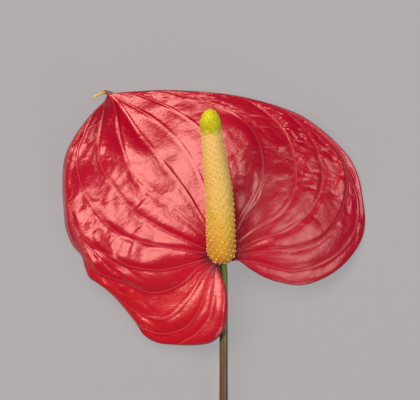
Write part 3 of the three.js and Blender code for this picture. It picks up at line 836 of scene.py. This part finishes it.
def makeFlesh():
    # smooth flesh under the florets
    middle, radius, lean, run = spadixProfile(spadix["fleshRings"])
    sides = spadix["fleshSides"]
    points, along = [], []
    for k in range(1, len(middle) - 1):
        top, side = squareTo(middle, k, (1, 0, 0))[1:]
        for turn in turns(sides):
            points.append(middle[k] + radius[k] * (math.cos(turn) * side + math.sin(turn) * top))
            along.append(run[k])
    points = np.array(points + [middle[0], middle[-1]]) + (*junction, seatHeight)
    along += [run[0], run[-1]]
    return makeObject("spadixFlesh", points, tubeFaces(len(middle) - 2, sides), {"run": along})


def makeAxis():
    # line of points that the tree samples, each with the skin's radius and lean there
    middle, radius, lean, run = spadixProfile(spadix["axisSteps"])
    values = {"radius": radius * mm, "lean": lean, "run": run}
    return makeObject("spadixAxis", middle + (*junction, seatHeight), [], values)


def makeUnit(name, outline, sides, swell=0.0):
    # turned shape of unit size, which the tree scales to a floret; the outline's last point is on its axis
    points, faces, marks = [], [], []
    for distance, height, mark in outline[:-1]:
        for turn in turns(sides):
            out = distance * (1 + swell * math.cos(4 * turn))
            points.append((out * math.cos(turn), out * math.sin(turn), height))
            marks.append(mark)
    points.append((0, 0, outline[-1][1]))
    marks.append(outline[-1][2])
    for k in range(len(outline) - 2):
        for i in range(sides):
            a, b = k * sides + i, k * sides + (i + 1) % sides
            faces.append((a, b, b + sides, a + sides))
    last = (len(outline) - 2) * sides
    faces += [(last + i, last + (i + 1) % sides, len(points) - 1) for i in range(sides)]
    return makeObject(name, np.array(points) / mm, faces, {"dip": marks})


def floretTree():
    tree = bpy.data.node_groups.new("floretsRoundSpadix", "GeometryNodeTree")
    fadeFrom, fadeTo = spadix["beadsFade"]
    sockets = [
        ("Flesh", "Geometry", None), ("Axis", "Object", None),
        ("Pad", "Object", None), ("Bead", "Object", None),
        ("Florets", "Int", spadix["florets"]), ("Turn", "Float", spadix["goldenTurn"]),
        ("Floret Size", "Float", spadix["floretSize"] * mm), ("Uneven", "Float", spadix["uneven"]),
        ("Seed", "Int", spadix["seed"]), ("Beads Fade From", "Float", fadeFrom),
        ("Beads Fade To", "Float", fadeTo), ("Material", "Material", None),
    ]
    for name, kind, value in sockets:
        item = tree.interface.new_socket(name, in_out="INPUT", socket_type="NodeSocket" + kind)
        if value is not None:
            item.default_value = value
    tree.interface.new_socket("Spadix", in_out="OUTPUT", socket_type="NodeSocketGeometry")
    given = tree.nodes.new("NodeGroupInput").outputs

    def named(name):
        return addNode(tree, "GeometryNodeInputNamedAttribute", {"Name": name}, data_type="FLOAT").outputs[0]

    def sampled(value, index, kind="FLOAT"):
        values = {"Geometry": axisLine, "Value": value, "Index": index}
        return addNode(tree, "GeometryNodeSampleIndex", values, data_type=kind, clamp=True).outputs[0]

    # a floret's place on the line, between two of its points
    axisLine = addNode(tree, "GeometryNodeObjectInfo", {"Object": given["Axis"]}).outputs["Geometry"]
    size = addNode(tree, "GeometryNodeAttributeDomainSize", {0: axisLine}, component="MESH")
    index = addNode(tree, "GeometryNodeInputIndex").outputs[0]
    share = mathNode(tree, "DIVIDE", mathNode(tree, "ADD", index, 0.5), given["Florets"])
    place = product(tree, share, mathNode(tree, "SUBTRACT", size.outputs["Point Count"], 1))
    low = mathNode(tree, "FLOOR", place)
    high = mathNode(tree, "ADD", low, 1)
    between = mathNode(tree, "FRACT", place)
    position = addNode(tree, "GeometryNodeInputPosition").outputs[0]
    first, second = sampled(position, low, "FLOAT_VECTOR"), sampled(position, high, "FLOAT_VECTOR")

    def blended(name):
        # a mix node's numbers are its sockets 2 and 3, and its vectors 4 and 5
        values = {0: between, 2: sampled(named(name), low), 3: sampled(named(name), high)}
        return addNode(tree, "ShaderNodeMix", values, data_type="FLOAT").outputs[0]

    radius, lean, run = (blended(name) for name in ("radius", "lean", "run"))
    values = {0: between, 4: first, 5: second}
    middle = addNode(tree, "ShaderNodeMix", values, data_type="VECTOR").outputs[1]
    ahead = vectorMath(tree, "NORMALIZE", vectorMath(tree, "SUBTRACT", second, first))
    top = vectorMath(tree, "NORMALIZE", vectorMath(tree, "CROSS_PRODUCT", (1, 0, 0), ahead))
    side = vectorMath(tree, "CROSS_PRODUCT", ahead, top)

    def turned(first, second, angle):
        # direction between two that are square to each other
        return vectorMath(tree, "ADD", vectorMath(tree, "SCALE", first, mathNode(tree, "COSINE", angle)),
                          vectorMath(tree, "SCALE", second, mathNode(tree, "SINE", angle)))

    out = turned(side, top, product(tree, index, given["Turn"]))
    normal = turned(out, ahead, lean)
    spot = vectorMath(tree, "ADD", middle, vectorMath(tree, "SCALE", out, radius))
    points = addNode(tree, "GeometryNodePoints", {"Count": given["Florets"], "Position": spot}).outputs[0]

    def stored(geometry, name, value):
        values = {"Geometry": geometry, "Name": name, "Value": value}
        node = addNode(tree, "GeometryNodeStoreNamedAttribute", values, data_type="FLOAT", domain="POINT")
        return node.outputs[0]

    def random(low, high, shift):
        values = {2: low, 3: high, "Seed": mathNode(tree, "ADD", given["Seed"], shift)}
        return addNode(tree, "FunctionNodeRandomValue", values, data_type="FLOAT").outputs[1]

    points = stored(points, "run", run)
    points = stored(points, "tint", random(0.0, 1.0, 1))
    upright = addNode(tree, "FunctionNodeAxesToRotation", {0: normal, 1: ahead},
                      primary_axis="Z", secondary_axis="Y")
    grown = mathNode(tree, "ADD", 1, product(tree, given["Uneven"], random(-1.0, 1.0, 2)))
    grown = product(tree, grown, given["Floret Size"])
    beadSize = ramp(tree, run, given["Beads Fade From"], given["Beads Fade To"], 1.0, spadix["leastBead"])
    beadSize = product(tree, product(tree, beadSize, random(*spadix["beadSizes"], 3)), grown)
    joined = addNode(tree, "GeometryNodeJoinGeometry")
    tree.links.new(given["Flesh"], joined.inputs[0])
    for shape, scale in (("Pad", grown), ("Bead", beadSize)):
        form = addNode(tree, "GeometryNodeObjectInfo", {"Object": given[shape]}).outputs["Geometry"]
        even = addNode(tree, "ShaderNodeCombineXYZ", {0: scale, 1: scale, 2: scale}).outputs[0]
        values = {"Points": points, "Instance": form, "Rotation": upright.outputs[0], "Scale": even}
        tree.links.new(addNode(tree, "GeometryNodeInstanceOnPoints", values).outputs[0], joined.inputs[0])
    real = addNode(tree, "GeometryNodeRealizeInstances", {0: joined.outputs[0]}).outputs[0]
    values = {"Geometry": real, "Material": given["Material"]}
    done = addNode(tree, "GeometryNodeSetMaterial", values).outputs[0]
    ending = tree.nodes.new("NodeGroupOutput")
    tree.links.new(done, ending.inputs[0])
    return tree


def makeSpadix(material):
    flesh = makeFlesh()
    pad = makeUnit("floretPad", spadix["pad"], spadix["padSides"], spadix["padSwell"])
    bead = makeUnit("floretBead", spadix["bead"], spadix["beadSides"])
    axis = makeAxis()
    tree = floretTree()
    modifier = flesh.modifiers.new("florets", "NODES")
    modifier.node_group = tree
    chosen = {"Axis": axis, "Pad": pad, "Bead": bead, "Material": material}
    for item in tree.interface.items_tree:
        if item.name in chosen:
            modifier[item.identifier] = chosen[item.name]
    shown = flesh.evaluated_get(bpy.context.evaluated_depsgraph_get())
    mesh = bpy.data.meshes.new_from_object(shown)
    mesh.name = "spadixWithFlorets"
    mesh.polygons.foreach_set("use_smooth", np.ones(len(mesh.polygons), bool))
    spike = addToScene("spadixWithFlorets", mesh)
    flesh.modifiers.remove(modifier)
    for helper in (flesh, pad, bead, axis):
        bpy.data.objects.remove(helper)
    return spike


spadixLook = {
    # from the base to the tip
    "bands": [(0.0, (0.42, 0.16, 0.008)), (0.1, (0.46, 0.18, 0.008)), (0.22, (0.57, 0.31, 0.035)),
              (0.42, (0.62, 0.39, 0.1)), (0.86, (0.63, 0.4, 0.13)), (0.885, (0.44, 0.33, 0.02)),
              (0.905, (0.34, 0.32, 0.0005)), (0.94, (0.42, 0.39, 0.0005)), (1.0, (0.56, 0.56, 0.001))],
    "ochre": (0.48, 0.31, 0.01),
    "bead": (0.8, 0.54, 0.2),
    # painted shade in a floret's hollow, multiplied into its colour
    "hollowShade": (0.7, 0.64, 0.42),
    "roughness": 0.48,
    "highlightTint": (1, 0.85, 0.4),
    # fine bloom that catches light along the edges
    "bloom": 0.22,
    "bloomTint": (1, 0.72, 0.25),
}


def creamAndGold():
    # dip is the mark of a floret's pad and bead, and tint differs from floret to floret
    material, tree = newMaterial("creamAndGold")
    look = spadixLook
    place = objectPlace(tree)
    run, dip, tint = (attribute(tree, name) for name in ("run", "dip", "tint"))
    wander = ramp(tree, noiseValue(tree, place, 120, 2), 0.3, 0.7, -0.02, 0.02)
    color = colorBand(tree, mathNode(tree, "ADD", run, wander), look["bands"])
    # some florets are ochre, most of them in the lower half
    patchy = product(tree, ramp(tree, tint, 0.6, 1.0, 0, 0.65), ramp(tree, run, 0.65, 0.4, 0.2, 1))
    patchy = product(tree, patchy, ramp(tree, run, 0.87, 0.83))
    color = mixColors(tree, patchy, color, look["ochre"])
    # painted shade in the florets' hollows, but not on the tip
    paintedHollowShade = product(tree, ramp(tree, dip, 0.1, 1.0, 0, 0.5), ramp(tree, run, 0.35, 0.6, 0.3, 1))
    paintedHollowShade = product(tree, paintedHollowShade, ramp(tree, run, 0.88, 0.84))
    color = mixColors(tree, paintedHollowShade, color, mixColors(tree, 1.0, color, look["hollowShade"], "MULTIPLY"))
    # beads are lighter, most of all near the base
    light = product(tree, ramp(tree, dip, -0.2, -1.0, 0, 0.6), ramp(tree, run, 0.15, 0.42, 1, 0.15))
    light = product(tree, light, ramp(tree, tint, 0.0, 0.8, 0.5, 1))
    color = mixColors(tree, light, color, look["bead"])
    setShader(tree, {
        "Base Color": color,
        "Normal": bump(tree, noiseValue(tree, place, 1800, 2), 0.00008, 0.6),
        "Roughness": look["roughness"],
        "Specular Tint": (*look["highlightTint"], 1),
        "Sheen Weight": look["bloom"],
        "Sheen Tint": (*look["bloomTint"], 1),
    })
    return material


printStage("spadix")
spike = makeSpadix(creamAndGold())
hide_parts("spadix")
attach(spike, "root")


# Stem. Its axis from the junction, heights over the table; the last point is under the spathe's seat
stem = {
    "axis": [(5, -245, 2.42), (4.2, -215, 2.4), (2.6, -175, 2.5), (1.2, -130, 4), (0.7, -95, 6.8),
             (0.7, -65, 9.8), (0.7, -40, 12.5), (0.7, -18, 14.7), (0.6, -6, 16), (0.2, 0, 17.5),
             (-0.2, 2.8, 19.9)],
    "cutRadius": 2.36,
    "topRadius": 1.85,
    "taper": 0.8,
    "sides": 32,
    "steps": 220,
    "grooves": 7,
    "grooveDepth": 0.03,
    # how uneven it is, and over what length
    "uneven": 0.04,
    "unevenLength": 14,
    # slant of the cut, and the steps over which it gives way to square rings
    "cutSlant": 0.45,
    "slantSteps": 6,
    # the cut end, from its middle out: pith, rind and a rounded lip, as shares of the radius with their dents
    "pithDent": 0.15,
    "cutRings": [(0.3, 0.12), (0.6, 0.08), (0.84, 0.0), (0.95, 0.06)],
}


def makeStem():
    # its cut attribute is 0 on the skin, and on the cut it grows inwards up to its middle
    sides, steps, cutMiddle = stem["sides"], stem["steps"], 1.2
    way = splineThrough(stem["axis"], steps)
    points, cut = [], []

    def addRing(middle, directions, radius, slant, mark):
        ahead, top, side = directions
        for turn in turns(sides):
            uneven = stem["uneven"] * noise.noise(Vector((turn, middle[1] / stem["unevenLength"], 2.0)))
            wave = 1 + stem["grooveDepth"] * math.cos(stem["grooves"] * turn) + uneven
            out = radius * wave * (math.cos(turn) * side + math.sin(turn) * top)
            points.append(middle + out + slant * math.sin(turn) * radius * ahead)
            cut.append(mark)

    for k in range(steps + 1):
        directions = squareTo(way, k, (1, 0, 0))
        radius = stem["cutRadius"] + (stem["topRadius"] - stem["cutRadius"]) * (k / steps) ** stem["taper"]
        if k == 0:
            pith = way[0] + stem["pithDent"] * directions[0]
            for part, dent in stem["cutRings"]:
                middle = way[0] + dent * directions[0]
                addRing(middle, directions, radius * part, stem["cutSlant"], cutMiddle - part)
        slant = stem["cutSlant"] * max(0.0, 1 - k / stem["slantSteps"])
        addRing(way[k], directions, radius, slant, 0.0)
    faces = tubeFaces(len(points) // sides, sides)
    points = np.array(points + [pith, way[-1]]) + (*junction, 0)
    cut += [cutMiddle, 0.0]
    return makeObject("stemSkin", points, faces, {"cut": cut})


stemLook = {
    # its bands run from the junction down to this place, in metres
    "bandsEnd": -0.165,
    "bands": [(0.0, (0.12, 0.17, 0.01)), (0.07, (0.1, 0.135, 0.01)), (0.12, (0.085, 0.075, 0.014)),
              (0.19, (0.09, 0.038, 0.016)), (0.6, (0.085, 0.04, 0.017)), (1.0, (0.09, 0.055, 0.018))],
    "streak": (0.12, 0.066, 0.03),
    "fleck": (0.2, 0.13, 0.06),
    # places in metres between which the flecks begin
    "flecksFrom": (0.075, 0.055),
    "cutBands": [(0.2, (0.25, 0.2, 0.06)), (0.35, (0.2, 0.2, 0.06)), (0.55, (0.55, 0.55, 0.26)),
                 (1.0, (0.62, 0.6, 0.34))],
    # scale of its patterns along the stem, small so that they are drawn out
    "alongScale": 0.12,
    "roughness": 0.38,
}


def greenToBrown():
    material, tree = newMaterial("greenToBrown")
    look = stemLook
    place = objectPlace(tree)
    values = {"Vector": place, "Scale": (1, look["alongScale"], 1)}
    drawn = addNode(tree, "ShaderNodeMapping", values).outputs[0]
    along = addNode(tree, "ShaderNodeSeparateXYZ", {0: place}).outputs["Y"]
    wander = ramp(tree, noiseValue(tree, drawn, 400, 2), 0.3, 0.7, -0.004, 0.004)
    wandering = mathNode(tree, "ADD", along, wander)
    down = ramp(tree, wandering, junction[1] * mm, look["bandsEnd"], kind="LINEAR")
    color = colorBand(tree, down, look["bands"])
    fibres = noiseValue(tree, drawn, 1500, 3)
    color = mixColors(tree, ramp(tree, fibres, 0.4, 0.7, 0, 0.35), color, look["streak"])
    cells = addNode(tree, "ShaderNodeTexVoronoi", {"Vector": drawn, "Scale": 700.0}).outputs["Distance"]
    fleck = product(tree, ramp(tree, cells, 0.26, 0.1, 0, 0.7), ramp(tree, along, *look["flecksFrom"]))
    color = mixColors(tree, fleck, color, look["fleck"])
    cut = attribute(tree, "cut")
    color = mixColors(tree, ramp(tree, cut, 0.05, 0.2), color, colorBand(tree, cut, look["cutBands"]))
    normal = bump(tree, fibres, 0.00012, 0.7)
    setShader(tree, {"Base Color": color, "Normal": normal, "Roughness": look["roughness"]})
    return material


printStage("stem")
stalk = makeStem()
stalk.data.materials.append(greenToBrown())
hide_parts("stem")
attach(stalk, "root")


# Floor, with a faint glow of its own so that it stays even and pale; half of its side is in metres
floorLook = {"half": 20.0, "color": (0.08, 0.08, 0.08), "glow": (0.33, 0.312, 0.317), "roughness": 0.9}


def makeFloor():
    half = floorLook["half"]
    mesh = bpy.data.meshes.new("floor")
    corners = [(-half, -half, 0), (half, -half, 0), (half, half, 0), (-half, half, 0)]
    mesh.from_pydata(corners, [], [(0, 1, 2, 3)])
    return addToScene("floor", mesh)


def paleFloor():
    material, tree = newMaterial("paleFloor")
    setShader(tree, {
        "Base Color": (*floorLook["color"], 1),
        "Roughness": floorLook["roughness"],
        "Specular IOR Level": 0.0,
        "Emission Color": (*floorLook["glow"], 1),
        "Emission Strength": 1.0,
    })
    return material


# Camera, straight above and a long way off, framed as the photograph; its distances are in metres
view = {
    "millimetresPerPixel": 0.46,
    "junctionPixel": (222, 262),
    "imageSize": (420, 400),
    "distance": 2.4,
    "flowerHeight": 0.012,
    "sensor": 36.0,
    "clip": (0.1, 100),
}


def makeCamera():
    scale = view["millimetresPerPixel"]
    width, height = view["imageSize"]
    x = junction[0] + (width / 2 - view["junctionPixel"][0]) * scale
    y = junction[1] - (height / 2 - view["junctionPixel"][1]) * scale
    data = bpy.data.cameras.new("camera")
    data.sensor_width = view["sensor"]
    data.lens = view["sensor"] * view["distance"] / (width * scale * mm)
    data.clip_start, data.clip_end = view["clip"]
    camera = addToScene("camera", data)
    camera.location = (x * mm, y * mm, view["distance"] + view["flowerHeight"])
    bpy.context.scene.camera = camera


# Lights, with distances and sizes in metres and angles in degrees
lights = {
    "key": {"azimuth": 150, "elevation": 59, "roll": -31, "distance": 1.5, "size": (1.65, 0.7),
            "power": 37, "color": (1, 0.84, 0.78)},
    "fill": {"azimuth": -6, "elevation": 49, "roll": 0, "distance": 1.0, "size": (0.45, 0.4),
             "power": 3.8, "color": (0.8, 1, 1)},
    "side": {"azimuth": -60, "elevation": 22, "roll": 0, "distance": 1.2, "size": (0.5, 0.4),
             "power": 4, "color": (1, 0.97, 0.93)},
}
# what they point at, in millimetres from the junction, and the faint light from all round
studio = {"aim": (0, 25, 15), "color": (0.95, 0.97, 1), "strength": 0.03}


def makeLight(name, look):
    azimuth, elevation = math.radians(look["azimuth"]), math.radians(look["elevation"])
    aim = Vector(np.add(studio["aim"], (*junction, 0))) * mm
    flat = math.cos(elevation)
    away = Vector((math.cos(azimuth) * flat, math.sin(azimuth) * flat, math.sin(elevation)))
    data = bpy.data.lights.new(name, "AREA")
    data.shape = "RECTANGLE"
    data.size, data.size_y = look["size"]
    data.energy = look["power"]
    data.color = look["color"]
    light = addToScene(name, data)
    light.location = aim + away * look["distance"]
    light.rotation_mode = "QUATERNION"
    roll = Quaternion((0, 0, 1), math.radians(look["roll"]))
    light.rotation_quaternion = away.to_track_quat("Z", "Y") @ roll
    light.visible_camera = False


def makeStudio():
    world = bpy.data.worlds.new("studio")
    world.use_nodes = True
    values = {"Color": (*studio["color"], 1), "Strength": studio["strength"]}
    setSockets(world.node_tree, world.node_tree.nodes["Background"], values)
    bpy.context.scene.world = world
    bpy.context.scene.view_settings.view_transform = "Standard"


printStage("camera, floor and lights")
makeCamera()
floor = makeFloor()
floor.data.materials.append(paleFloor())
for name, look in lights.items():
    makeLight(name, look)
makeStudio()
